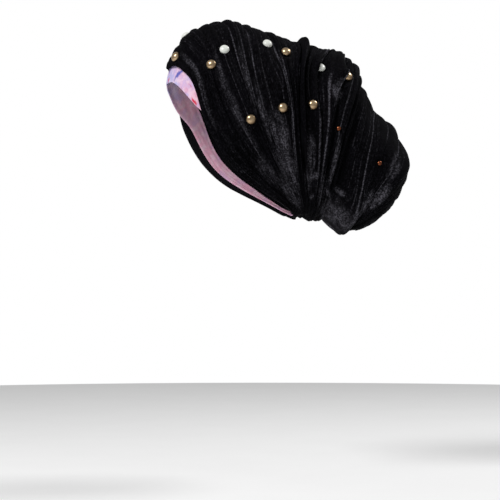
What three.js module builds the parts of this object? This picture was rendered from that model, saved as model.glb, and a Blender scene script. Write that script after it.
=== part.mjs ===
// A slip-on turban of pleated velvet in its worn form: a front wrap over the head, three wraps that
// overlap behind it, a full bag at the back, a printed band inside the brow and half pearls.
// Millimetres, +Z up. The wearer faces -Y and +X is the wearer's left. The origin is where the top
// of the head touches the inside of the crown.
import * as THREE from "three";

const VELVET_WALL = 2.2;
const PRINT_WALL = 1.3;
const LAYER_GAP = 0.6; // air between two layers of cloth
const LAYER_RISE = VELVET_WALL + LAYER_GAP; // how far a wrap's rear edge lies over the next wrap
const RING_STEPS = 36;
const BAND_STEPS = 4;
const HEM_REACH = 75; // how far behind the hem the pleats still follow its curve
const EDGE_CROWN = 231; // the ridge wrap's rear edge
const EDGE_REACH = 45; // how far in front of that edge the folds follow its curve
const EDGE_TRAIL = 24; // the same behind it
const GATHER_HEIGHT = 0.35; // below this share of the height the folds flatten into the nape gather
const SIDE_HEIGHT = 0.75; // above this share of the height the folds change to their crown heights
const END_INSET = 5; // how far inside the bag's end the inner wall closes
const PEARL_SEAT = 0.3;
const TWIN_HEIGHT = 0.9; // studs above this share of the height have no twin
const PEARL_STEPS = 12;

const table = (names, rows) => {
  const columns = names.split(" ");
  return rows.map((row) => Object.fromEntries(columns.map((name, i) => [name, row[i]])));
};

// Closed rings of the smooth form, from the face opening to the bag's end. Each lies in the plane of
// its top point, its nape point and the X axis. crown is the distance along the crown line; half is
// the half width; widest is the share of the height where it is widest; bow bends the sides forward.
const SECTIONS = table("crown topY topZ napeY napeZ half widest bow", [
  [-22, -91, -72, 60, -232, 71, 0.5, 30],
  [0, -86, -48, 64, -227, 74, 0.5, 33],
  [22, -77, -31, 66, -224, 76, 0.5, 32],
  [55, -57, -9, 69, -222, 79, 0.5, 29],
  [90, -27, 2, 71, -220, 81, 0.51, 26],
  [130, 13, -4, 73, -219, 82, 0.52, 24],
  [190, 65, -22, 76, -219, 82, 0.54, 20],
  [250, 120, -35, 86, -221, 82, 0.56, 14],
  [292, 137, -62, 97, -222, 82, 0.56, 10],
  [312, 147, -77, 111, -234, 81, 0.55, 9],
  [326, 154, -89, 123, -244, 80, 0.54, 8],
  [340, 161, -101, 128.5, -238, 80, 0.53, 8],
  [372, 184, -121, 130, -236, 78, 0.52, 8],
  [410, 197, -157, 131, -236, 74, 0.52, 7],
  [443, 190, -189, 132, -236.5, 65, 0.52, 5],
  [475, 174, -215, 133, -237, 52, 0.52, 3],
  [500, 155, -230, 134, -238, 33, 0.5, 0],
  [512, 144, -238, 135, -239.5, 16, 0.5, 0],
]);

// How far the hem lies behind the first ring, by height: 0 at the nape and 1 over the forehead. The
// rows beyond them repeat the other side, so that the curve is level at both.
const HEM = table("height shift", [
  [-0.2, 25],
  [0, 8],
  [0.2, 25],
  [0.42, 9],
  [0.6, 15],
  [0.73, 25],
  [0.84, 15],
  [0.94, 3],
  [1, -3],
  [1.06, 3],
]);

// The printed band's lower edge along the crown line, and its width. It hangs below the hem at the
// brow, and lies inside the hem elsewhere.
const BAND = table("height low width", [
  [-0.2, 37, 22],
  [0, 20, 22],
  [0.2, 37, 22],
  [0.42, 21, 24],
  [0.58, 27, 28],
  [0.69, 10, 38],
  [0.82, -6, 46],
  [0.94, -15, 50],
  [1, -17, 50],
  [1.06, -15, 50],
]);

// One row for each fold: the crease that it starts at, along the crown line, how far the crease leans
// back halfway down the side, and the crest's height over the crown and down the sides.
const FOLDS = table("wrap crease lean top side", [
  ["front_wrap", 0, 0, 1.8, 1.8],
  ["front_wrap", 16, 0, 2.4, 2.4],
  ["front_wrap", 34, 0, 3.6, 2.6],
  ["front_wrap", 50, 3, 3.4, 2.4],
  ["front_wrap", 64, 5, 2.2, 2.9],
  ["front_wrap", 80, 6, 2.4, 2.9],
  ["front_wrap", 96, 4, 4.2, 3],
  ["front_wrap", 107, 0, 3.4, 3],
  ["front_wrap", 117, 2, 2.6, 3],
  ["front_wrap", 126, 12, 2.2, 3.4],
  ["front_wrap", 142, 34, 3, 3.8],
  ["front_wrap", 156, 28, 2.2, 3.4],
  ["front_wrap", 169, 19, 2.4, 3.2],
  ["front_wrap", 181, 9, 2, 2.4],
  ["ridge_wrap", 192, 0, 13, 9],
  ["ridge_wrap", 208, -4, 4.6, 5],
  ["ridge_wrap", 220, -2, 3, 3.2],
  ["middle_wrap", 232, 0, 4, 3],
  ["middle_wrap", 241, 2, 4.2, 2.6],
  ["rear_wrap", 250, 2, 4.6, 5],
  ["rear_wrap", 264, 6, 7, 6],
  ["rear_wrap", 280, 4, 3.4, 3.4],
  ["back_bag", 291, 0, 3.4, 4.2],
  ["back_bag", 311, 0, 3, 3.2],
  ["back_bag", 331, -2, 3.6, 4.6],
  ["back_bag", 352, 8, 4.8, 3.6],
  ["back_bag", 380, 10, 5, 5],
  ["back_bag", 408, 20, 4, 3.8],
  ["back_bag", 432, 10, 3.2, 3],
  ["back_bag", 456, 0, 2.6, 2.4],
  ["back_bag", 482, 0, 1.6, 1.6],
]);
const BAG_END = 512;

// The studs on the wearer's left. Each has a twin on the right, except the two nearest the middle,
// one of which lies just past it.
const PEARLS = table("kind crown height", [
  ["gold", 17, 0.91],
  ["gold", 61, 0.725],
  ["gold", 89, 0.51],
  ["gold", 160, 0.54],
  ["gold", 169, 0.78],
  ["gold", 213, 0.555],
  ["gold", 257, 0.725],
  ["small", 266, 0.485],
  ["small", 358, 0.53],
  ["white", 51, 1.06],
  ["white", 84, 0.755],
  ["white", 142, 0.8],
  ["white", 219, 0.735],
]);
const PEARL_KINDS = {
  small: { radius: 2.8, rise: 2.6, color: 0x8a4a30, roughness: 0.3, metalness: 0.9 },
  gold: { radius: 6, rise: 5.6, color: 0xc79a45, roughness: 0.28, metalness: 0.9 },
  white: { radius: 5.6, rise: 4.6, color: 0xeef0ea, roughness: 0.22, metalness: 0 },
};

const smooth = (share) => THREE.MathUtils.smoothstep(share, 0, 1);

// The value of a table's column where its key is at, on a smooth curve through the rows.
function along(rows, key, at, column) {
  const slope = (i) => {
    const before = rows[Math.max(i - 1, 0)];
    const after = rows[Math.min(i + 1, rows.length - 1)];
    return (after[column] - before[column]) / (after[key] - before[key]);
  };
  const next = rows.findIndex((row) => row[key] > at);
  const i = next < 0 ? rows.length - 2 : Math.max(next - 1, 0);
  const step = rows[i + 1][key] - rows[i][key];
  const t = (at - rows[i][key]) / step;
  const bend = step * t * (1 - t);
  const line = THREE.MathUtils.lerp(rows[i][column], rows[i + 1][column], t * t * (3 - 2 * t));
  return line + bend * ((1 - t) * slope(i) - t * slope(i + 1));
}

// turn goes once round a ring, from the nape up the wearer's left side, over the crown and back.
const heightOf = (turn) => 1 - Math.abs(2 * turn - 1);

function form(crown, turn) {
  const [topY, topZ, napeY, napeZ, half, widest, bow] = Object.keys(SECTIONS[0])
    .slice(1)
    .map((column) => along(SECTIONS, "crown", crown, column));
  const angle = 2 * Math.PI * turn;
  const lower = Math.cos(angle) > 0 ? widest : 1 - widest;
  const rise = widest - lower * Math.cos(angle);
  const forward = (bow * Math.sin(angle) ** 2) / Math.hypot(topY - napeY, topZ - napeZ);
  return new THREE.Vector3(
    half * Math.sin(angle),
    napeY + (topY - napeY) * rise - (topZ - napeZ) * forward,
    napeZ + (topZ - napeZ) * rise + (topY - napeY) * forward,
  );
}

function outward(crown, turn) {
  const rearward = form(crown + 0.5, turn).sub(form(crown - 0.5, turn));
  const round = form(crown, turn + 0.002).sub(form(crown, turn - 0.002));
  return rearward.cross(round).normalize();
}

// Where a fold's line runs at each height: it leans, and near the hem and the ridge wrap's rear edge
// it bends.
function foldLine({ crease, lean }, turn) {
  const height = heightOf(turn);
  const crown = crease + lean * Math.sin(Math.PI * height) ** 2;
  const byHem = 1 - smooth(crown / HEM_REACH);
  const past = crown - EDGE_CROWN;
  const byEdge = 1 - smooth(past < 0 ? -past / EDGE_REACH : past / EDGE_TRAIL);
  const dip = 18 * smooth(1 - Math.abs(height - 0.7) / 0.3);
  return crown + byHem * along(HEM, "height", height, "shift") - byEdge * dip;
}

const turns = Array.from({ length: RING_STEPS }, (_, i) => i / RING_STEPS);

// The crease and crest lines of the whole turban, in order.
const LINES = FOLDS.flatMap(({ wrap, crease, lean, top, side }, i) => {
  const next = FOLDS[i + 1] ?? { crease: BAG_END, lean: 0 };
  return [
    { wrap, crease, lean, top: 0, side: 0 },
    { wrap, crease: (crease + next.crease) / 2, lean: (lean + next.lean) / 2, top, side },
  ];
}).concat({ wrap: "back_bag", crease: BAG_END, lean: 0, top: 0, side: 0 });

// How far a line stands above the smooth form.
function riseOf({ top, side }, turn) {
  const share = smooth((heightOf(turn) - SIDE_HEIGHT) / (1 - SIDE_HEIGHT));
  return THREE.MathUtils.lerp(side, top, share) * smooth(heightOf(turn) / GATHER_HEIGHT);
}

// A closed sheet between two stacks of rings. A closed end is a fan to the middle of its last ring.
function sheet(outer, inner, closedEnd) {
  const stacks = [outer, inner];
  const points = stacks.flat(2);
  const faces = [];
  const at = (stack, row, i) => (stack * outer.length + row) * RING_STEPS + (i % RING_STEPS);
  const quad = (a, b, c, d) => faces.push(a, b, c, a, c, d);
  const last = outer.length - 1;
  for (let i = 0; i < RING_STEPS; i += 1) {
    for (let row = 0; row < last; row += 1) {
      quad(at(0, row, i), at(0, row + 1, i), at(0, row + 1, i + 1), at(0, row, i + 1));
      quad(at(1, row, i), at(1, row, i + 1), at(1, row + 1, i + 1), at(1, row + 1, i));
    }
    quad(at(0, 0, i), at(0, 0, i + 1), at(1, 0, i + 1), at(1, 0, i));
    if (closedEnd) {
      faces.push(at(0, last, i), points.length, at(0, last, i + 1));
      faces.push(at(1, last, i), at(1, last, i + 1), points.length + 1);
    } else {
      quad(at(0, last, i), at(1, last, i), at(1, last, i + 1), at(0, last, i + 1));
    }
  }
  if (closedEnd) {
    const sum = (ring) => ring.reduce((total, point) => total.add(point), new THREE.Vector3());
    const middle = (ring) => sum(ring).divideScalar(RING_STEPS);
    points.push(middle(outer[last]), middle(inner[last]));
  }
  return new THREE.BufferGeometry().setFromPoints(points).setIndex(faces);
}

// One wrap of velvet. It starts under the rear fold of the wrap in front of it and rises until its
// own rear fold lies over the next wrap.
function wrapGeometry(wrap) {
  const first = LINES.findIndex((line) => line.wrap === wrap);
  const last = LINES.findLastIndex((line) => line.wrap === wrap);
  const isBag = last === LINES.length - 1;
  const start = Math.max(first - 1, 0);
  const lines = LINES.slice(start, isBag ? last + 1 : last + 2);
  const liftOf = (line) => {
    const rearFold = LINES[last - 1].crease;
    const share = (line.crease - LINES[first].crease) / (rearFold - LINES[first].crease);
    return isBag ? 0 : LAYER_RISE * THREE.MathUtils.clamp(share, 0, 1);
  };
  const ring = (line, depth) => turns.map((turn) => {
    const crown = foldLine(line, turn);
    const height = liftOf(line) + riseOf(line, turn) - depth;
    return form(crown, turn).addScaledVector(outward(crown, turn), height);
  });
  const outer = lines.map((line) => ring(line, 0));
  const inner = lines.map((line, i) => {
    const closing = isBag && i === lines.length - 1;
    return ring(closing ? { ...line, crease: line.crease - END_INSET } : line, VELVET_WALL);
  });
  return sheet(outer, inner, isBag);
}

function bandGeometry() {
  const ring = (step, depth) => turns.map((turn) => {
    const [low, width] = ["low", "width"].map((column) => along(BAND, "height", heightOf(turn), column));
    const crown = low + (width * step) / BAND_STEPS;
    return form(crown, turn).addScaledVector(outward(crown, turn), -depth);
  });
  const steps = Array.from({ length: BAND_STEPS + 1 }, (_, i) => i);
  const outer = steps.map((step) => ring(step, LAYER_RISE));
  const inner = steps.map((step) => ring(step, LAYER_RISE + PRINT_WALL));
  return sheet(outer, inner, false);
}

// A half pearl with a flat back and its dome along +Y.
function pearlGeometry({ radius, rise }) {
  const dome = [0, 0.26, 0.5, 0.74, 1].map((share) => {
    const angle = (share * Math.PI) / 2;
    return new THREE.Vector2(radius * Math.cos(angle), 0.6 + (rise - 0.6) * Math.sin(angle));
  });
  dome.at(-1).x = 0;
  const back = [new THREE.Vector2(0, 0), new THREE.Vector2(radius, 0)];
  return new THREE.LatheGeometry([...back, ...dome], PEARL_STEPS);
}

function named(name, geometry, look) {
  const mesh = new THREE.Mesh(geometry, new THREE.MeshStandardMaterial(look));
  mesh.name = name;
  return mesh;
}

// Lays a pearl on the highest point of the cloth beneath its back.
function seat(pearl, cloth, { crown, height, radius, side }) {
  const turn = side > 0 ? height / 2 : 1 - height / 2;
  const up = outward(crown, turn);
  pearl.quaternion.setFromUnitVectors(new THREE.Vector3(0, 1, 0), up);
  const above = form(crown, turn).addScaledVector(up, 40);
  const heights = [0, 0.5, 1].flatMap((share) => turns.map((around) => {
    const angle = 2 * Math.PI * around;
    const spot = new THREE.Vector3(Math.cos(angle), 0, Math.sin(angle)).multiplyScalar(share * radius);
    const from = spot.applyQuaternion(pearl.quaternion).add(above);
    const [hit] = new THREE.Raycaster(from, up.clone().negate()).intersectObjects(cloth);
    return 40 - hit.distance;
  }));
  pearl.position.copy(above).addScaledVector(up, Math.max(...heights) + PEARL_SEAT - 40);
}

const turban = new THREE.Group();
const wraps = [...new Set(FOLDS.map(({ wrap }) => wrap))];
const velvet = { color: 0x0d0c11, roughness: 0.9, metalness: 0 };
turban.add(...wraps.map((wrap) => named(wrap, wrapGeometry(wrap), velvet)));
const cloth = [...turban.children];
turban.add(named("print_band", bandGeometry(), { color: 0xd8b6c8, roughness: 0.8, metalness: 0 }));

for (const kind of ["gold", "small", "white"]) {
  const { radius, rise, ...look } = PEARL_KINDS[kind];
  const places = PEARLS.filter((pearl) => pearl.kind === kind).flatMap((pearl) => {
    const sides = pearl.height > TWIN_HEIGHT ? [1] : [1, -1];
    return sides.map((side) => ({ ...pearl, side }));
  });
  places.forEach((place, i) => {
    const name = `${kind}_pearl_${String(i + 1).padStart(2, "0")}`;
    const pearl = named(name, pearlGeometry({ radius, rise }), look);
    seat(pearl, cloth, { ...place, radius });
    turban.add(pearl);
  });
}

export default turban;
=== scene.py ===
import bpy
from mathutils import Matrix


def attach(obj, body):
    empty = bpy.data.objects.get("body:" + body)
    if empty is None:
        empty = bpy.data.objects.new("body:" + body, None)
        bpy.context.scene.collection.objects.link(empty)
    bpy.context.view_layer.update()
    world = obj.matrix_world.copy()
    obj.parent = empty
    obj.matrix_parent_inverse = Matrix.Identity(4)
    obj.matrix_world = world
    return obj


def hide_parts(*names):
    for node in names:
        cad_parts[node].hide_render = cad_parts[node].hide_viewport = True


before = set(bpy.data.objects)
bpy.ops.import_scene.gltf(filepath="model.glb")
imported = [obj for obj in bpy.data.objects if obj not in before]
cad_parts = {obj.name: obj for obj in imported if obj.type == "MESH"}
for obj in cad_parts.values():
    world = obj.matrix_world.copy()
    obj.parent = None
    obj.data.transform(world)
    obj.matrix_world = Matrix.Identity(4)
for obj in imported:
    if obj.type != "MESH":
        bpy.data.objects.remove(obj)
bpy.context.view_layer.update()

import math

import bpy
import numpy as np
from mathutils import Matrix, Vector

# Front wrap: the pleated panel of black stretch velvet over the brow, crown and ears. The cloth is
# gathered into fine pleats that run from the crown line to the nape, where they are sewn together.
# Its face edge is turned under, and its rear edge lies over the next wrap.

MM = 0.001
VELVET_WALL = 2.2
LAYER_RISE = 2.8  # how far a rear edge lies above the next wrap
RING_POINTS = 256
ROW_STEP = 0.62
LINING_STEP = 3.4
BAG_END = 512


def table(names, rows):
    return dict(zip(names.split(), np.array(rows, float).T))


# The smooth form under the folds, as closed rings from the face opening to the bag's end. Each ring
# lies in the plane of its top point, its nape point and the X axis, in millimetres.
SECTIONS = table("crown top_y top_z nape_y nape_z half widest bow", [
    (-22, -91, -72, 60, -232, 71, 0.5, 30),
    (0, -86, -48, 64, -227, 74, 0.5, 33),
    (22, -77, -31, 66, -224, 76, 0.5, 32),
    (55, -57, -9, 69, -222, 79, 0.5, 29),
    (90, -27, 2, 71, -220, 81, 0.51, 26),
    (130, 13, -4, 73, -219, 82, 0.52, 24),
    (190, 65, -22, 76, -219, 82, 0.54, 20),
    (250, 120, -35, 86, -221, 82, 0.56, 14),
    (292, 137, -62, 97, -222, 82, 0.56, 10),
    (312, 147, -77, 111, -234, 81, 0.55, 9),
    (326, 154, -89, 123, -244, 80, 0.54, 8),
    (340, 161, -101, 128.5, -238, 80, 0.53, 8),
    (372, 184, -121, 130, -236, 78, 0.52, 8),
    (410, 197, -157, 131, -236, 74, 0.52, 7),
    (443, 190, -189, 132, -236.5, 65, 0.52, 5),
    (475, 174, -215, 133, -237, 52, 0.52, 3),
    (500, 155, -230, 134, -238, 33, 0.5, 0),
    (512, 144, -238, 135, -239.5, 16, 0.5, 0),
])

# How far the face edge lies behind the first ring, by height: 0 at the nape, 1 over the brow.
HEM = table("height shift", [
    (-0.2, 25), (0, 8), (0.2, 25), (0.42, 9), (0.6, 15), (0.73, 25), (0.84, 15), (0.93, 4), (1, -2),
    (1.07, 4),
])

# One row a fold: the crease it starts at along the crown line, how high that crease stays, how far it
# leans back halfway down the side, the fold's height above its creases, the share of it that is left
# over the crown, how sharp its crest is, and its pleats and their depth.
FOLDS = table("crease floor lean height top sharp pleats depth", [
    (0, 0.0, 0, 1.0, 1.0, 0.7, 3, 0.8),
    (16, 0.8, 0, 1.3, 1.4, 0.7, 4, 1.0),
    (34, 0.9, 0, 1.5, 2.2, 0.7, 4, 1.0),
    (50, 0.4, 3, 1.4, 2.4, 0.7, 3, 1.1),
    (64, 0.0, 5, 2.4, 0.7, 0.6, 3, 1.0),
    (80, 1.0, 6, 1.6, 1.0, 0.7, 3, 1.0),
    (96, 1.0, 4, 2.4, 1.5, 0.6, 2, 0.9),
    (107, 2.0, 0, 2.4, 1.2, 0.6, 2, 0.9),
    (117, 0.0, 2, 2.2, 1.1, 0.6, 2, 1.0),
    (126, 0.5, 12, 2.7, 0.3, 0.7, 3, 1.0),
    (142, 0.0, 34, 3.0, 0.7, 0.6, 3, 0.9),
    (156, 1.2, 28, 1.8, 0.3, 0.7, 3, 0.9),
    (169, 1.2, 19, 1.8, 0.6, 0.7, 3, 0.9),
    (181, 0.8, 9, 1.6, 0.3, 0.7, 3, 0.8),
    (192, 0.0, 0, 10.0, 1.15, 1.0, 2, 0.3),
    (208, 4.0, -4, 2.6, 0.4, 0.8, 2, 0.4),
    (220, 2.0, -2, 2.0, 0.4, 0.8, 2, 0.4),
    (232, 0.0, 0, 1.2, 2.0, 0.8, 2, 0.4),
    (241, 3.0, 2, 0.6, 2.4, 0.8, 2, 0.3),
    (250, 0.0, 2, 4.0, 0.9, 0.7, 3, 0.6),
    (264, 2.6, 6, 4.4, 1.3, 0.6, 3, 0.6),
    (280, 1.0, 4, 2.4, 0.8, 0.7, 3, 0.5),
    (291, 0.0, 0, 2.6, 0.4, 0.6, 2, 0.4),
    (311, 2.6, 0, 1.0, 0.4, 0.8, 2, 0.3),
    (331, 0.4, -2, 3.0, 0.6, 0.7, 2, 0.4),
    (352, 1.8, 8, 2.0, 1.5, 0.7, 2, 0.5),
    (380, 0.3, 10, 4.2, 0.8, 0.6, 3, 0.4),
    (408, 2.6, 20, 1.6, 1.5, 0.8, 3, 0.4),
    (432, 2.0, 10, 1.4, 1.0, 0.8, 3, 0.4),
    (456, 1.0, 0, 1.4, 1.0, 0.8, 3, 0.4),
    (482, 0.5, 0, 0.8, 1.0, 0.8, 4, 0.3),
    (BAG_END, 0.0, 0, 0, 1.0, 0.8, 1, 0),
])
# Short wrinkles that cross the folds low on the sides: from and to along the crown line, their height
# at each end, and how far they rise.
WRINKLES = table("start end start_height end_height rise", [
    (186, 242, 0.290, 0.310, 1.6),
    (262, 291, 0.262, 0.240, 1.6),
    (291, 313, 0.266, 0.300, 1.4),
    (204, 226, 0.205, 0.215, 1.0),
])


def smooth(share):
    share = np.clip(share, 0, 1)
    return share * share * (3 - 2 * share)


def along(rows, key, at, column):
    """A table's column on a smooth curve through its rows, where the key is at."""
    x, y = rows[key], rows[column]
    slope = np.concatenate([[y[1] - y[0]], y[2:] - y[:-2], [y[-1] - y[-2]]])
    slope = slope / np.concatenate([[x[1] - x[0]], x[2:] - x[:-2], [x[-1] - x[-2]]])
    i = np.clip(np.searchsorted(x, at, side="right") - 1, 0, len(x) - 2)
    step = x[i + 1] - x[i]
    t = (at - x[i]) / step
    line = y[i] + (y[i + 1] - y[i]) * t * t * (3 - 2 * t)
    return line + step * t * (1 - t) * ((1 - t) * slope[i] - t * slope[i + 1])


def height_of(turn):
    return 1 - np.abs(2 * turn - 1)


def form(crown, turn):
    """A point of the smooth form. turn goes once round, from the nape up the wearer's left side."""
    crown, turn = np.broadcast_arrays(crown, turn)
    names = list(SECTIONS)[1:]
    top_y, top_z, nape_y, nape_z, half, widest, bow = (along(SECTIONS, "crown", crown, n) for n in names)
    angle = 2 * np.pi * turn
    lower = np.where(np.cos(angle) > 0, widest, 1 - widest)
    rise = widest - lower * np.cos(angle)
    forward = bow * np.sin(angle) ** 2 / np.hypot(top_y - nape_y, top_z - nape_z)
    return np.stack([
        half * np.sin(angle),
        nape_y + (top_y - nape_y) * rise - (top_z - nape_z) * forward,
        nape_z + (top_z - nape_z) * rise + (top_y - nape_y) * forward,
    ], axis=-1)


def unit(vectors):
    return vectors / np.maximum(np.linalg.norm(vectors, axis=-1, keepdims=True), 1e-9)


def outward(crown, turn):
    rearward = form(crown + 0.5, turn) - form(crown - 0.5, turn)
    return unit(np.cross(rearward, form(crown, turn + 0.002) - form(crown, turn - 0.002)))


def noise(x, y, seed, period=4096):
    """Smooth gradient noise from about -1 to 1. It repeats after period steps of y."""
    rng = np.random.default_rng(seed)
    angle = rng.random((512, 512)) * 2 * np.pi
    x, y = np.broadcast_arrays(x, y)
    x0, y0 = np.floor(x).astype(int), np.floor(y).astype(int)

    def corner(i, j):
        turn = angle[(x0 + i) % 512, ((y0 + j) % period) % 512]
        return np.cos(turn) * (x - x0 - i) + np.sin(turn) * (y - y0 - j)

    u, v = smooth(x - x0), smooth(y - y0)
    near = corner(0, 0) * (1 - u) + corner(1, 0) * u
    far = corner(0, 1) * (1 - u) + corner(1, 1) * u
    return 1.5 * (near * (1 - v) + far * v)


def fold_line(line, turn):
    """Where a fold's line lies along the crown at each height: it bends by the hem and the leaf."""
    height = height_of(turn)
    by_hem = 1 - smooth(line / 75)
    by_leaf = 1 - smooth(np.where(line < 231, (231 - line) / 45, (line - 231) / 24))
    dip = 18 * smooth(1 - np.abs(height - 0.7) / 0.3)
    return line + by_hem * along(HEM, "height", height, "shift") - by_leaf * dip


def strand(line, turn):
    """The crown place of the pleat that passes here, from the leaning creases."""
    lean = np.sin(np.pi * height_of(turn)) ** 2
    found = np.empty(np.broadcast(line, turn).shape)
    line, lean = np.broadcast_arrays(line, lean)
    for j in range(found.shape[1]):
        found[:, j] = np.interp(line[:, j], FOLDS["crease"] + FOLDS["lean"] * lean[0, j], FOLDS["crease"])
    return found


def pleat_place(line, turn):
    """strand, with the slow wander that gathered cloth has."""
    return strand(line, turn) + 2.6 * noise(line / 30, turn * 9, 1, 9) * smooth(height_of(turn) * 4)


def wrinkled(line, turn):
    """How far the short wrinkles that cross the folds rise here."""
    height = height_of(turn)
    raised = np.zeros(np.broadcast(line, turn).shape)
    for start, end, low, high, rise in zip(*WRINKLES.values()):
        share = (line - start) / (end - start)
        middle = low + (high - low) * share + 0.003 * noise(line / 12, start, 15)
        ends = smooth(share * 5) * smooth((1 - share) * 5)
        raised = raised + rise * ends * np.exp(-(((height - middle) / 0.013) ** 2))
    return raised


def over_crown(turn):
    """0 down the sides, rising to 1 on top of the head."""
    return smooth((height_of(turn) - 0.74) / 0.24)


def fold_at(place):
    """The row of the fold at a crown place, and how far across the fold it is, from 0 to 1."""
    last = len(FOLDS["crease"]) - 2
    i = np.clip(np.searchsorted(FOLDS["crease"], place, side="right") - 1, 0, last)
    start, end = FOLDS["crease"][i], FOLDS["crease"][i + 1]
    return i, np.clip((place - start) / (end - start), 0, 1)


def puffed(i, t, turn):
    """The main folds: each swells from its crease to a crest, unevenly down the sides."""
    puff = np.sin(np.pi * t ** 1.3) ** FOLDS["sharp"][i]
    uneven = np.clip(1 + 0.75 * noise(i * 3.7 + 0.5, turn * 6 + i * 0.37, 2, 6), 0.35, 1.6)
    uneven = uneven + (FOLDS["top"][i] - uneven) * over_crown(turn)
    floor = FOLDS["floor"][i] * (1 - smooth(t)) + FOLDS["floor"][i + 1] * smooth(t)
    return floor + FOLDS["height"][i] * puff * uneven


def pleated(i, t, place, turn):
    """The pleats on a fold with the finer ones between them, and the sheen painted along their creases.
    """
    shifted = t + 0.9 * noise(place / 14, turn * 8, 3, 8) * t * (1 - t)
    phase = FOLDS["pleats"][i] * shifted
    cell = i * 7 + np.floor(phase)
    share = np.clip(0.7 + 1.5 * noise(cell * 5.3 + 0.5, turn * 7 + cell * 0.31, 4, 7), 0, 2)
    pleats = FOLDS["depth"][i] * share * np.abs(np.sin(np.pi * phase)) ** 0.75
    fine_phase = FOLDS["pleats"][i] * 2.4 * shifted + noise(place / 9, turn * 13, 5, 13)
    fine_share = 0.32 * np.clip(0.6 + 1.6 * noise(place / 11, turn * 9, 8, 9), 0, 1.6)
    fine = FOLDS["depth"][i] * fine_share * np.abs(np.sin(np.pi * fine_phase))
    fade = smooth((height_of(turn) + 0.08) / 0.4) * (1 - 0.75 * over_crown(turn))
    valley = np.exp(-((np.sin(np.pi * phase) / 0.13) ** 2))
    valley = valley + 0.5 * np.exp(-((np.sin(np.pi * fine_phase) / 0.2) ** 2))
    crease_sheen = valley * smooth(1.7 * noise(cell * 2.3, turn * 6 + cell * 0.4, 13, 6) + 0.15)
    return (pleats + fine) * fade, crease_sheen


def fluted(place, turn):
    """Soft flutes low down, where the cloth is drawn in to the gather at the nape."""
    height = height_of(turn)
    wave = np.sin(np.pi * (place / 23 + 0.7 * noise(place / 40, turn * 8, 7, 8)))
    return 1.5 * np.abs(wave) ** 0.8 * smooth((0.34 - height) / 0.3) * smooth(height / 0.03)


def relief(line, turn):
    """Heights above the smooth form of the folds, and of the pleats and small creases on them, and
    the sheen painted along the pleats' creases."""
    height = height_of(turn)
    gather = smooth(height / 0.35)
    place = pleat_place(line, turn)
    i, t = fold_at(place)
    folds = puffed(i, t, turn) * gather
    billow = np.maximum(1.3 * noise(place / 34, turn * 14, 9, 14), -0.4 * folds) * gather
    folds = folds + fluted(place, turn) + wrinkled(line, turn) + billow
    pleats, crease_sheen = pleated(i, t, place, turn)
    creased = 0.45 * noise(place / 13, turn * 46, 6, 46) * smooth(FOLDS["crease"][i] / 180 + 0.2)
    return folds, pleats + creased * gather, crease_sheen * smooth(height * 5)


# The studs, as crown place and height on the wearer's left. Each has a twin on the right, except
# the two nearest the middle. A height over 1 lies just past the middle.
STUDS = {
    "gold": [(17, 0.91), (61, 0.725), (89, 0.51), (160, 0.54), (169, 0.78), (213, 0.555), (257, 0.725)],
    "small": [(266, 0.485), (358, 0.53)],
    "white": [(51, 1.06), (84, 0.755), (142, 0.8), (219, 0.735)],
}
TWIN_HEIGHT = 0.9
PRESS_REACH = 25  # how far from a stud, in millimetres, it can press the cloth
DRAPE_REACH = 20  # how far from it the cloth can be draped over it


def with_twins(places):
    """Crown place and turn of each stud and of its twin."""
    for crown, height in places:
        yield crown, height / 2
        if height <= TWIN_HEIGHT:
            yield crown, 1 - height / 2


# Where each stud sits: the middle of its back, which way is up from there, and its size.
seats = []
for kind, places in STUDS.items():
    for number, (crown, turn) in enumerate(with_twins(places), 1):
        name = f"{kind}_pearl_{number:02d}"
        up = outward(crown, turn)
        corners = np.array([v.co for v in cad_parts[name].data.vertices]) / MM
        level = (corners @ up).min()
        point = form(crown, turn)
        seats.append({"name": name, "kind": kind, "up": up, "level": level,
                      "point": point + up * (level - point @ up), "rise": np.ptp(corners @ up),
                      "radius": np.linalg.norm(np.cross(corners - point, up), axis=1).max()})


def from_seat(seat, point):
    """How far a point is from a stud's back: sideways along the cloth, and in a straight line."""
    away = point - seat["point"]
    sideways = away - (away @ seat["up"])[..., None] * seat["up"]
    return np.linalg.norm(sideways, axis=-1), np.linalg.norm(away, axis=-1)


def height_to(level, seat, point, normal):
    """How far along its normal a point is from a level across the stud."""
    return (level - point @ seat["up"]) / np.maximum(normal @ seat["up"], 0.4)


def pressed(point, normal, rise, depth=0.0):
    """The cloth's height where a stud holds it flat, with depth millimetres of cloth between them."""
    for seat in seats:
        aside, away = from_seat(seat, point)
        near = smooth((seat["radius"] + 5.5 - aside) / 5) * (away < PRESS_REACH)
        level = height_to(seat["level"] - 0.15 - depth, seat, point, normal)
        rise = rise + (level - rise) * near
    return rise


def draped(point, normal, rise):
    """The cloth's height where it is pulled over a stud instead."""
    for seat in seats:
        aside, away = from_seat(seat, point)
        brim = seat["radius"] + 1.4
        dome = seat["rise"] * np.sqrt(1 - np.clip(aside / brim, 0, 1) ** 2)
        top = seat["level"] + dome + VELVET_WALL + 0.9 - 8 * smooth((aside - brim) / 5)
        level = height_to(top, seat, point, normal)
        rise = np.where(away < DRAPE_REACH, np.maximum(rise, level), rise)
    return rise


def ring_rows(first, last, step):
    count = max(int(round((last - first) / step)), 2)
    return np.linspace(first, last, count + 1)[:, None]


TURNS = (np.arange(RING_POINTS) / RING_POINTS)[None, :]
EDGE_STEPS = 5  # rings round a sheet's rounded edge


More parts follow.
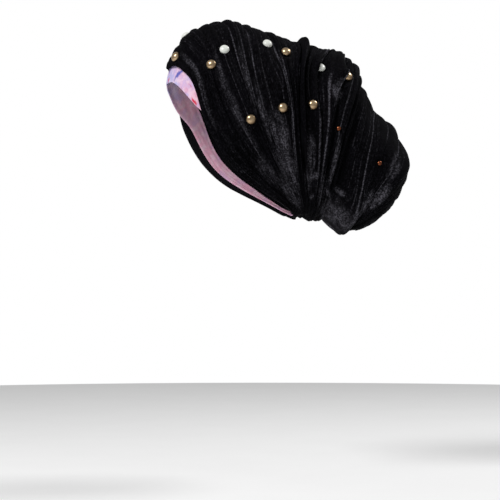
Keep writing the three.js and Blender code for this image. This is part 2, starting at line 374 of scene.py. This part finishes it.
def cloth_mesh(name, outer, inner, nap, cap=None, inside=-1.0):
    """A closed sheet with rounded edges between two stacks of rings. With a cap the last ring of
    each stack closes to a point instead."""
    rows, marks = [], []
    middle, half = (outer[0] + inner[0]) / 2, (outer[0] - inner[0]) / 2
    ahead = unit(outer[0] - outer[1]) * np.linalg.norm(half, axis=-1, keepdims=True)
    bends = [math.pi / 2 * (1 - 2 * k / (EDGE_STEPS + 1)) for k in range(1, EDGE_STEPS + 1)]
    for bend in reversed(bends):
        rows.append(middle + half * math.sin(bend) + ahead * math.cos(bend))
        marks.append(nap[0])
    rows.extend(outer)
    marks.extend(nap)
    if cap is None:
        middle, half = (outer[-1] + inner[-1]) / 2, (outer[-1] - inner[-1]) / 2
        behind = unit(outer[-1] - outer[-2]) * np.linalg.norm(half, axis=-1, keepdims=True)
        for bend in bends:
            rows.append(middle + half * math.sin(bend) + behind * math.cos(bend))
            marks.append(nap[-1] * 0.5)
    split = len(rows)
    rows.extend(inner[::-1])
    marks.extend([np.full(RING_POINTS, inside)] * len(inner))
    stack = np.array(rows)
    count = len(stack)
    index = np.arange(count * RING_POINTS).reshape(count, RING_POINTS)
    joined = [(r, r + 1) for r in range(count - 1) if cap is None or r != split - 1] + [(count - 1, 0)]
    faces = []
    for a, b in joined:
        here, there = index[a], index[b]
        faces.append(np.stack([here, there, np.roll(there, -1), np.roll(here, -1)], axis=1))
    faces = np.concatenate(faces).tolist()
    points = stack.reshape(-1, 3)
    mark = np.concatenate(marks)
    if cap is not None:
        for ring, point, flip in ((index[split - 1], cap[0], False), (index[split], cap[1], True)):
            tip = len(points)
            points = np.vstack([points, point])
            mark = np.append(mark, mark[ring[0]])
            pairs = zip(ring, np.roll(ring, -1))
            faces += [(int(a), int(b), tip) if flip else (int(a), tip, int(b)) for a, b in pairs]
    mesh = bpy.data.meshes.new(name)
    mesh.from_pydata((points * MM).tolist(), [], faces)
    mesh.shade_smooth()
    mesh.attributes.new("nap", "FLOAT", "POINT").data.foreach_set("value", mark.astype(np.float32))
    piece = bpy.data.objects.new(name, mesh)
    bpy.context.collection.objects.link(piece)
    return piece


# Places where the pile is brushed the other way, its sheen painted in as grey: crown place, height,
# their reach along the crown and down the pleat, and how strongly they show.
BRUSHED_SHEEN = table("crown height wide tall strength", [
    (15, 0.74, 5, 0.14, 0.55),
    (60, 0.34, 20, 0.06, 0.35),
    (92, 0.22, 34, 0.09, 0.75),
    (122, 0.33, 20, 0.08, 0.8),
    (127, 0.445, 9, 0.07, 0.7),
    (114, 0.52, 5, 0.09, 0.5),
    (102, 0.64, 4, 0.09, 0.45),
    (66, 0.60, 5, 0.16, 0.35),
    (215, 0.38, 9, 0.07, 0.85),
    (200, 0.28, 12, 0.05, 0.45),
    (250, 0.24, 12, 0.06, 0.4),
    (272, 0.37, 8, 0.07, 0.7),
    (249, 0.63, 5, 0.05, 0.75),
    (300, 0.15, 34, 0.08, 0.7),
    (310, 0.89, 12, 0.035, 0.65),
    (340, 0.20, 14, 0.06, 0.7),
    (366, 0.29, 20, 0.08, 1.0),
    (392, 0.41, 10, 0.08, 0.85),
    (379, 0.60, 8, 0.08, 0.6),
])
# Long thin lines of painted sheen along creases: crown place, from and to height, strength.
SHEEN_CREASES = table("crown low high strength", [
    (64, 0.30, 0.62, 0.8),
    (80, 0.45, 0.80, 0.4),
    (96, 0.50, 0.92, 0.6),
    (107, 0.52, 0.90, 0.7),
    (117, 0.42, 0.90, 0.75),
    (126, 0.45, 0.85, 0.5),
    (142, 0.10, 0.84, 1.0),
    (146, 0.30, 0.80, 0.7),
    (169, 0.55, 0.78, 0.4),
    (232, 0.20, 0.98, 0.6),
    (241, 0.25, 0.72, 0.9),
    (250, 0.15, 0.92, 1.0),
    (264, 0.25, 0.86, 0.9),
    (331, 0.15, 0.90, 0.9),
    (352, 0.65, 0.92, 0.4),
    (380, 0.15, 0.88, 0.8),
    (408, 0.20, 0.50, 0.5),
])


def nap_of(line, turn):
    """How much sheen is painted on the pile as grey, from 0 to about 1."""
    height = height_of(turn)
    place = pleat_place(line, turn)
    ragged = 0.75 + 0.9 * noise(place / 6, turn * 50, 11, 50)
    # painted sheen along the pleats' creases
    grey = 0.38 * relief(line, turn)[2]
    right_side = turn > 0.5
    for crown, middle, wide, tall, strength in zip(*BRUSHED_SHEEN.values()):
        along_crown = (place - crown - 15 * right_side) / wide
        down_pleat = (height - middle + 0.07 * right_side) / tall
        far = np.hypot(along_crown, down_pleat)
        grey = np.maximum(grey, strength * smooth(1.5 - far) * ragged)
    for crown, low, high, strength in zip(*SHEEN_CREASES.values()):
        spread = np.exp(-(((place - crown) / (0.62 / np.clip(height * 1.7, 0.25, 1))) ** 2))
        ends = smooth((height - low) / 0.1) * smooth((high - height) / 0.08)
        broken = np.clip(0.8 + 0.7 * noise(crown * 3.1, turn * 24, 12, 24), 0.15, 1.3)
        grey = np.maximum(grey, 2.4 * strength * spread * ends * broken)
    # the cross wrinkles get painted sheen as well
    return np.maximum(grey, 0.55 * wrinkled(line, turn) ** 2)


# Where a fold half hides a stud: the first line of its wrap, its own line and height, how far it
# reaches down the pleat, how far it rises and is drawn back, and whether it lies over the stud.
COVERS = table("wrap line height tall rise back over", [
    (0, 24, 0.880, 0.034, 3.6, 0.0, 0),
    (192, 231, 0.735, 0.06, 2.0, 1.5, 2),
    (232, 249, 0.725, 0.06, 2.0, 4.0, 2),
])


def cover(wrap, line, turn, column):
    """The covers' rise, back or over at a point of a wrap, faded out round each of them."""
    total = np.zeros(np.broadcast(line, turn).shape)
    names = ("wrap", "line", "height", "tall", column)
    for own, at, middle, tall, amount in zip(*(COVERS[name] for name in names)):
        if own == wrap:
            far = ((line - at) / 5) ** 2 + ((height_of(turn) - middle) / tall) ** 2
            total += amount * np.exp(-far)
    return total


LIP_WIDTH = 9
HEM_WIDTH = 9
TUCK_GAP = 0.9  # between a tucked edge and the wrap that covers it


def velvet_wrap(first, last, tuck=0.0, lip=0.0, hem=0.0, under=0.0, step=ROW_STEP):
    """The outer rings, inner rings and painted pile sheen of one wrap, from its first line to its last.
    It starts tuck millimetres further forward, close under the lip of the wrap before it, and rises to
    lie over the wrap behind it."""
    front = first - tuck
    top_rise = LAYER_RISE if lip else 0.0
    height = height_of(TURNS)
    lip_share = 1.3 - 0.5 * height
    spacing = np.linalg.norm(form(first + 0.5, TURNS) - form(first - 0.5, TURNS), axis=-1)

    def tucked(line):
        """How high the cloth lies close under the wrap before it."""
        folds, pleats, _ = relief(np.minimum(line, first), TURNS)
        lifted = 0.55 * under * smooth((line - (first - LIP_WIDTH)) / 7) * lip_share
        return folds + 0.25 * pleats + lifted - TUCK_GAP - 0.8 * smooth(1.2 - height / 0.4)

    def ring(line, depth):
        folds, pleats, _ = relief(line, TURNS)
        past_lip = (line - first) * np.maximum(spacing, 0.3)
        shown = smooth((past_lip - 1.5) / 2.0) if tuck else 1.0
        roll = smooth((HEM_WIDTH - (line - first)) / 5) if hem else 0.0
        edge = smooth((line - (last - LIP_WIDTH)) / 7)
        pleats = pleats * shown * (1 - 0.6 * roll)
        rise = top_rise * smooth((line - first) / max(last - 12 - first, 1))
        rise = rise + cover(first, line, TURNS, "rise") * smooth((line - first) / 6)
        rise = rise + lip * edge * lip_share + hem * roll
        outer = rise + folds * shown + tucked(line) * (1 - shown) + pleats
        crown = fold_line(line + cover(first, line, TURNS, "back"), TURNS)
        point, normal = form(crown, TURNS), outward(crown, TURNS)
        over = np.clip(cover(first, line, TURNS, "over"), 0, 1)
        flat = pressed(point, normal, outer, 3.4 * (1 - shown))
        outer = flat + (draped(point, normal, outer) - flat) * over
        thicker = (0.75 * pleats + 0.45 * lip * edge + 0.5 * hem * roll) * (1 - over)
        return point + normal * (outer - depth * (VELVET_WALL + thicker))[..., None]

    fine = ring_rows(front, last, step)
    lining = ring_rows(front, last - 14, LINING_STEP)[:-1]
    lining = np.vstack([lining, ring_rows(last - 14, last, 1.2)])
    return ring(fine, 0), ring(lining, 1), nap_of(fine, TURNS)


def velvet_piece(name, node, cloth, cap=None):
    piece = cloth_mesh(name, *cloth, cap=cap)
    piece.data.materials.append(velvet)
    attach(piece, "root")
    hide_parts(node)
    return piece


class Nodes:
    """Adds shader nodes to a tree and joins them up by name."""

    def __init__(self, tree):
        self.tree = tree

    def add(self, kind, settings=None, **inputs):
        node = self.tree.nodes.new("ShaderNode" + kind)
        for name, value in (settings or {}).items():
            setattr(node, name, value)
        for name, value in inputs.items():
            self.set(node, name.replace("_", " "), value)
        return node

    def set(self, node, name, value):
        socket = node.inputs[int(name)] if name.isdigit() else node.inputs[name]
        if isinstance(value, bpy.types.NodeSocket):
            self.tree.links.new(value, socket)
        else:
            socket.default_value = value

    def math(self, operation, a, b=0.0, clamp=False):
        node = self.add("Math", {"operation": operation, "use_clamp": clamp})
        self.set(node, "0", a)
        self.set(node, "1", b)
        return node.outputs[0]

    def spread(self, value, low, high, to_low=0.0, to_high=1.0):
        ends = {"From_Min": low, "From_Max": high, "To_Min": to_low, "To_Max": to_high}
        return self.add("MapRange", Value=value, **ends).outputs[0]

    def mix(self, share, a, b):
        node = self.add("Mix", {"data_type": "RGBA"})
        for socket, value in ((0, share), (6, a), (7, b)):
            self.set(node, str(socket), value)
        return node.outputs[2]

    def noise(self, scale, detail, rough, where):
        node = self.add("TexNoise", Scale=scale, Detail=detail, Roughness=rough, Vector=where)
        return node.outputs["Fac"]


def material(name):
    made = bpy.data.materials.new(name)
    made.use_nodes = True
    made.node_tree.nodes.clear()
    return made, Nodes(made.node_tree)


def finish(nodes, **inputs):
    shader = nodes.add("BsdfPrincipled", **inputs)
    nodes.add("OutputMaterial", Surface=shader.outputs[0])


# The pile of the velvet: short fibres that lie in small tufts. Grain is the tufts' light and dark,
# Height their relief.
pile = bpy.data.node_groups.new("pile", "ShaderNodeTree")
pile.interface.new_socket("Tuft Size", in_out="INPUT", socket_type="NodeSocketFloat")
pile.interface.new_socket("Grain", in_out="OUTPUT", socket_type="NodeSocketFloat")
pile.interface.new_socket("Height", in_out="OUTPUT", socket_type="NodeSocketFloat")
nodes = Nodes(pile)
given = nodes.tree.nodes.new("NodeGroupInput")
put = nodes.tree.nodes.new("NodeGroupOutput")
where = nodes.add("TexCoord").outputs["Object"]
tufts = nodes.noise(nodes.math("DIVIDE", 1.0, given.outputs["Tuft Size"]), 2.0, 0.7, where)
clumps = nodes.noise(240.0, 2.0, 0.6, where)
clumped = nodes.spread(clumps, 0.36, 0.6, 0.3, 1.0)
nodes.set(put, "Grain", nodes.math("MULTIPLY", nodes.spread(tufts, 0.46, 0.6), clumped))
nodes.set(put, "Height", tufts)

velvet, nodes = material("black_velvet")
fibre = nodes.add("Group", {"node_tree": pile})
fibre.inputs["Tuft Size"].default_value = 0.0019
# The nap attribute paints the velvet's sheen in as grey: patches where the pile lies the other way, and
# lines along creases.
nap = nodes.add("Attribute", {"attribute_name": "nap"}).outputs["Fac"]
inside = nodes.math("LESS_THAN", nap, -0.5)
painted_sheen = nodes.math("MAXIMUM", nap, 0.0)
shown = nodes.math("MULTIPLY", painted_sheen, nodes.spread(fibre.outputs["Grain"], 0.0, 0.8, 0.2, 1.9))
streaks = nodes.noise(34.0, 3.0, 0.6, nodes.add("TexCoord").outputs["Object"])
streaked = nodes.spread(streaks, 0.35, 0.7)
black = nodes.mix(streaked, (0.0004, 0.0003, 0.0006, 1), (0.0016, 0.0014, 0.0022, 1))
speckled = nodes.mix(nodes.math("MULTIPLY", fibre.outputs["Grain"], 0.2), black, (0.026, 0.025, 0.031, 1))
# the grey that the painted sheen is mixed towards
grey = nodes.mix(nodes.math("MULTIPLY", shown, 1.0, True), speckled, (0.075, 0.072, 0.085, 1))
color = nodes.mix(inside, grey, (0.009, 0.009, 0.011, 1))
bump = nodes.add("Bump", Strength=0.35, Distance=0.0006, Height=fibre.outputs["Height"])
rough = nodes.spread(fibre.outputs["Grain"], 0.0, 1.0, 0.78, 0.95)
finish(nodes, Base_Color=color, Roughness=rough, Normal=bump.outputs[0], Sheen_Weight=0.006,
       Sheen_Roughness=0.32, Sheen_Tint=(0.82, 0.84, 1.0, 1), Specular_IOR_Level=0.02)

front = velvet_piece("velvet_front_wrap", "front_wrap", velvet_wrap(0, 192, lip=2.0, hem=1.2))

# Ridge, middle and rear wraps: strips of the same velvet, each folded over at its rear edge and laid
# over the next one, flat where the wrap in front covers it. They meet in the gather at the nape.
TUCK = 11  # how far each starts under the wrap in front
for name, node, first, last, under, lip, flat, area in (
    ("velvet_ridge_wrap", "ridge_wrap", 192, 232, 2.0, 2.4, (0.48, 0.06), 0.025),
    ("velvet_middle_wrap", "middle_wrap", 232, 250, 2.4, 3.6, (0.48, 0.04), 0.0167),
    ("velvet_rear_wrap", "rear_wrap", 250, 291, 3.6, 3.2, (0.48, 0.06), 0.0245),
):
    cloth = velvet_wrap(first, last, tuck=TUCK, lip=lip, under=under)
    wrap = velvet_piece(name, node, cloth)

# Back bag: a full sack of the same velvet. It starts under the rear wrap, slouches behind the head
# and is drawn in to a pinch low down.
outer, inner, nap = velvet_wrap(291, BAG_END, tuck=TUCK, under=3.2, step=0.8)
inner = inner[:-1]
end = [outer[-1].mean(axis=0), inner[-1].mean(axis=0)]
bag = velvet_piece("velvet_back_bag", "back_bag", (outer, inner, nap), cap=end)

# Brow band: a soft woven band with a watery print, worn inside the hem. Its lower edge shows at the
# brow and temples.
PRINT_WALL = 1.2
BAND = table("height low width", [
    (-0.2, 37, 22), (0, 20, 22), (0.2, 37, 22), (0.42, 21, 24), (0.58, 27, 28), (0.69, 10, 38),
    (0.82, -6, 46), (0.94, -15, 50), (1, -17, 50), (1.06, -15, 50),
])
# Brush strokes of the print, from and to along the crown line and round the ring, with their half
# width in millimetres. Tint 1 is blue and -1 red. Smaller ones are scattered over the rest.
STROKES = table("crown turn to_crown to_turn half tint", [
    (13, 0.417, -8, 0.440, 2.0, 1.0),
    (6, 0.425, 1, 0.431, 3.2, 0.9),
    (4, 0.487, -5, 0.500, 3.6, 0.9),
    (8, 0.465, 2, 0.477, 2.4, 0.7),
    (-9, 0.500, -2, 0.495, 1.6, 0.8),
    (5, 0.470, 7, 0.468, 2.0, -0.9),
    (-15, 0.492, -13, 0.487, 2.6, -1.0),
    (13, 0.342, 10, 0.352, 2.4, -1.0),
    (18, 0.370, 15, 0.380, 1.6, -0.5),
    (-8, 0.400, -3, 0.396, 2.4, -0.25),
    (2, 0.380, 8, 0.375, 3.0, -0.22),
])
RING_LENGTH = 500  # millimetres once round a ring
SCATTERED = 34


def band_place(share):
    height = height_of(TURNS)
    return along(BAND, "height", height, "low") + along(BAND, "height", height, "width") * share


def band_ring(share, depth):
    crown = band_place(share)
    rumple = 0.5 * noise(share * 4, TURNS * 30, 21, 30)
    point, normal = form(crown, TURNS), outward(crown, TURNS)
    return point + normal * (rumple - LAYER_RISE - 0.4 - depth)[..., None]


def print_of(share):
    """How blue the print is from 0 to 1, or how red from 0 to -1."""
    crown, turn = np.broadcast_arrays(band_place(share), TURNS)
    ragged = 1.2 * noise(crown / 3, turn * 60, 22, 60)
    rng = np.random.default_rng(23)
    other_turn = 0.52 + 0.8 * rng.random(SCATTERED)
    other_low = along(BAND, "height", height_of(other_turn % 1), "low")
    other_crown = other_low + rng.uniform(2, 22, SCATTERED)
    to_crown = other_crown + rng.uniform(-9, 9, SCATTERED)
    to_turn = other_turn + rng.uniform(-0.015, 0.015, SCATTERED)
    widths, tints = rng.uniform(1.4, 3, SCATTERED), rng.choice([-0.8, 0.9], SCATTERED)
    others = zip(other_crown, other_turn, to_crown, to_turn, widths, tints)
    tint = np.zeros(crown.shape)
    for start, start_turn, end, end_turn, half, amount in [*zip(*STROKES.values()), *others]:
        run, climb = end - start, (end_turn - start_turn) * RING_LENGTH
        ahead, aside = crown - start, ((turn - start_turn + 0.5) % 1 - 0.5) * RING_LENGTH
        covered = np.clip((ahead * run + aside * climb) / (run * run + climb * climb), 0, 1)
        far = np.hypot(ahead - run * covered, aside - climb * covered)
        tint = tint + (amount - tint) * smooth((half + ragged - far) / 1.6)
    return tint


shares = np.linspace(0, 1, 61)[:, None]
band_outside, band_inside = band_ring(shares, 0), band_ring(shares[::3], PRINT_WALL)
band = cloth_mesh("brow_band", band_outside, band_inside, print_of(shares), inside=0.0)
printed, nodes = material("printed_cloth")
where = nodes.add("TexCoord").outputs["Object"]
tint = nodes.add("Attribute", {"attribute_name": "nap"}).outputs["Fac"]
to_temple = nodes.spread(nodes.add("SeparateXYZ", Vector=where).outputs["Y"], -0.088, -0.055)
wash = nodes.spread(nodes.noise(70.0, 3.0, 0.6, where), 0.38, 0.62, -0.35, 0.35)
ground = nodes.mix(nodes.math("ADD", to_temple, wash, True), (0.52, 0.47, 0.76, 1), (0.80, 0.42, 0.55, 1))
blotches = nodes.spread(nodes.noise(140.0, 2.0, 0.5, where), 0.45, 0.62)
ground = nodes.mix(nodes.math("MULTIPLY", blotches, 0.4), ground, (0.86, 0.74, 0.84, 1))
blue = nodes.mix(nodes.math("MAXIMUM", tint, 0.0), ground, (0.055, 0.085, 0.42, 1))
red_share = nodes.math("MAXIMUM", nodes.math("MULTIPLY", tint, -1.0), 0.0)
color = nodes.mix(red_share, blue, (0.62, 0.035, 0.075, 1))
weave = nodes.noise(1400.0, 2.0, 0.5, where)
bump = nodes.add("Bump", Strength=0.3, Distance=0.0003, Height=weave)
finish(nodes, Base_Color=color, Roughness=nodes.spread(weave, 0.3, 0.7, 0.7, 0.9), Normal=bump.outputs[0],
       Specular_IOR_Level=0.2)
band.data.materials.append(printed)
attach(band, "root")
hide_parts("print_band")


# Gold, coppery and white half pearls: flat-backed domes with a small rim, of plated or pearl-coated
# plastic, each fixed flat to the velvet. The metal ones have painted shade darkening their lower rear
# side.
def metal(name, dark, light, shade_color):
    made, nodes = material(name)
    worn = nodes.noise(300.0, 3.0, 0.6, nodes.add("TexCoord").outputs["Object"])
    own_color = nodes.mix(nodes.spread(worn, 0.35, 0.65), dark, light)
    # painted shade: each metal stud is darker towards its lower rear side
    shaded = nodes.add("Attribute", {"attribute_name": "painted_shade"}).outputs["Fac"]
    finish(nodes, Base_Color=nodes.mix(shaded, own_color, shade_color), Metallic=1.0,
           Roughness=nodes.spread(worn, 0.3, 0.7, 0.26, 0.34))
    return made


# The last colour of each metal is its painted shade.
gold = metal("satin_gold", (0.44, 0.31, 0.18, 1), (0.60, 0.45, 0.28, 1), (0.085, 0.045, 0.022, 1))
copper = metal("copper_bead", (0.16, 0.046, 0.020, 1), (0.28, 0.090, 0.040, 1), (0.03, 0.01, 0.006, 1))
white, nodes = material("white_pearl")
where = nodes.add("TexCoord").outputs["Object"]
nacre = nodes.noise(160.0, 2.0, 0.5, where)
color = nodes.mix(nodes.spread(nacre, 0.3, 0.7), (0.70, 0.73, 0.67, 1), (0.80, 0.80, 0.76, 1))
finish(nodes, Base_Color=color, Roughness=nodes.spread(nacre, 0.3, 0.7, 0.28, 0.36), Coat_Weight=0.15)
RIM_HEIGHT = 0.7
STUD_LOOKS = {"gold": (gold, 5.6), "small": (copper, 2.6), "white": (white, 4.6)}


def dome_mesh(name, radius, rise, around=48):
    profile = [(radius * 0.94, 0.0), (radius, 0.25), (radius, RIM_HEIGHT)]
    for k in range(1, 14):
        angle = k / 14 * math.pi / 2
        climb = (rise - RIM_HEIGHT) * math.sin(angle)
        profile.append((radius * math.cos(angle) ** 0.96, RIM_HEIGHT + climb))
    points = [(0.0, 0.0, 0.0)]
    angles = np.linspace(0, 2 * math.pi, around, False)
    for r, h in profile:
        points += [(r * math.cos(a), r * math.sin(a), h) for a in angles]
    points.append((0.0, 0.0, rise))
    faces = [(0, 1 + (i + 1) % around, 1 + i) for i in range(around)]
    for row in range(len(profile) - 1):
        a, b = 1 + row * around, 1 + (row + 1) * around
        faces += [(a + i, a + (i + 1) % around, b + (i + 1) % around, b + i) for i in range(around)]
    last = 1 + (len(profile) - 1) * around
    faces += [(last + i, last + (i + 1) % around, len(points) - 1) for i in range(around)]
    mesh = bpy.data.meshes.new(name)
    mesh.from_pydata(points, [], faces)
    return mesh


def tarnished(mesh, centre):
    """How much painted shade darkens each of a stud's corners, most on its lower rear side."""
    corners = np.array([v.co for v in mesh.vertices])
    facing = unit(corners - centre) @ unit(np.array([0.0, 0.62, -0.78]))
    shares = (0.9 * smooth((facing - 0.05) / 0.75)).astype(np.float32)
    mesh.attributes.new("painted_shade", "FLOAT", "POINT").data.foreach_set("value", shares)


for seat in seats:
    look, rise = STUD_LOOKS[seat["kind"]]
    name = seat["name"].replace("_pearl_", "_half_pearl_")
    mesh = dome_mesh(name, seat["radius"], rise)
    upright = Vector((0, 0, 1)).rotation_difference(Vector(seat["up"])).to_matrix().to_4x4()
    mesh.transform(Matrix.Translation(Vector(seat["point"] * MM)) @ Matrix.Scale(MM, 4) @ upright)
    tarnished(mesh, seat["point"] * MM)
    mesh.shade_smooth()
    mesh.materials.append(look)
    pearl = bpy.data.objects.new(name, mesh)
    bpy.context.collection.objects.link(pearl)
    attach(pearl, "root")
    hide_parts(seat["name"])


# Studio: a pale floor well below the turban, which is held up as on a head, a white surround, a soft
# key light from above the brow, and a camera a little in front of the wearer's left side.

CAMERA_AZIMUTH = math.radians(78)
CAMERA_DISTANCE = 2.5
CAMERA_LENS = 152.5
FLOOR_LEVEL = -0.533
back = Vector((math.sin(CAMERA_AZIMUTH), -math.cos(CAMERA_AZIMUTH), 0))
right = Vector((math.cos(CAMERA_AZIMUTH), math.sin(CAMERA_AZIMUTH), 0))
up = Vector((0, 0, 1))
aim = right * 0.0118 - up * 0.263
camera = bpy.data.objects.new("camera", bpy.data.cameras.new("camera"))
camera.location = aim + back * CAMERA_DISTANCE
camera.rotation_euler = (aim - camera.location).to_track_quat("-Z", "Y").to_euler()
camera.data.lens = CAMERA_LENS
camera.data.sensor_width = 36
bpy.context.collection.objects.link(camera)
bpy.context.scene.camera = camera


def softbox(name, place, target, size, power):
    lamp = bpy.data.lights.new(name, "AREA")
    lamp.shape = "DISK"
    lamp.size = size
    lamp.energy = power
    light = bpy.data.objects.new(name, lamp)
    light.location = place
    light.rotation_euler = (target - place).to_track_quat("-Z", "Y").to_euler()
    bpy.context.collection.objects.link(light)


middle = Vector((0, 0.06, -0.12))
key_place = middle + back * 1.2 - right * 1.1 + up * 1.4
rim_place = middle - back * 0.5 + right * 1.2 + up * 1.2
softbox("key", key_place, middle, size=0.7, power=30)
softbox("rim", rim_place, middle, size=0.6, power=14)

world = bpy.data.worlds.new("studio")
world.use_nodes = True
surround = Nodes(world.node_tree)
seen = surround.add("LightPath").outputs["Is Camera Ray"]
background = world.node_tree.nodes["Background"]
surround.set(background, "Color", (1, 1, 1, 1))
surround.set(background, "Strength", surround.spread(seen, 0, 1, 0.36, 1.0))
bpy.context.scene.world = world
bpy.context.scene.view_settings.view_transform = "Standard"

floor_centre = (0, 0.05, FLOOR_LEVEL)
bpy.ops.mesh.primitive_circle_add(vertices=96, radius=1.8, fill_type="NGON", location=floor_centre)
floor = bpy.context.object
floor.name = "floor"
paper, nodes = material("floor_paper")
where = nodes.add("TexCoord").outputs["Object"]
shade = nodes.spread(nodes.noise(9.0, 2.0, 0.5, where), 0.3, 0.7)
color = nodes.mix(shade, (0.945, 0.945, 0.945, 1), (0.96, 0.96, 0.96, 1))
finish(nodes, Base_Color=color, Roughness=0.9)
floor.data.materials.append(paper)
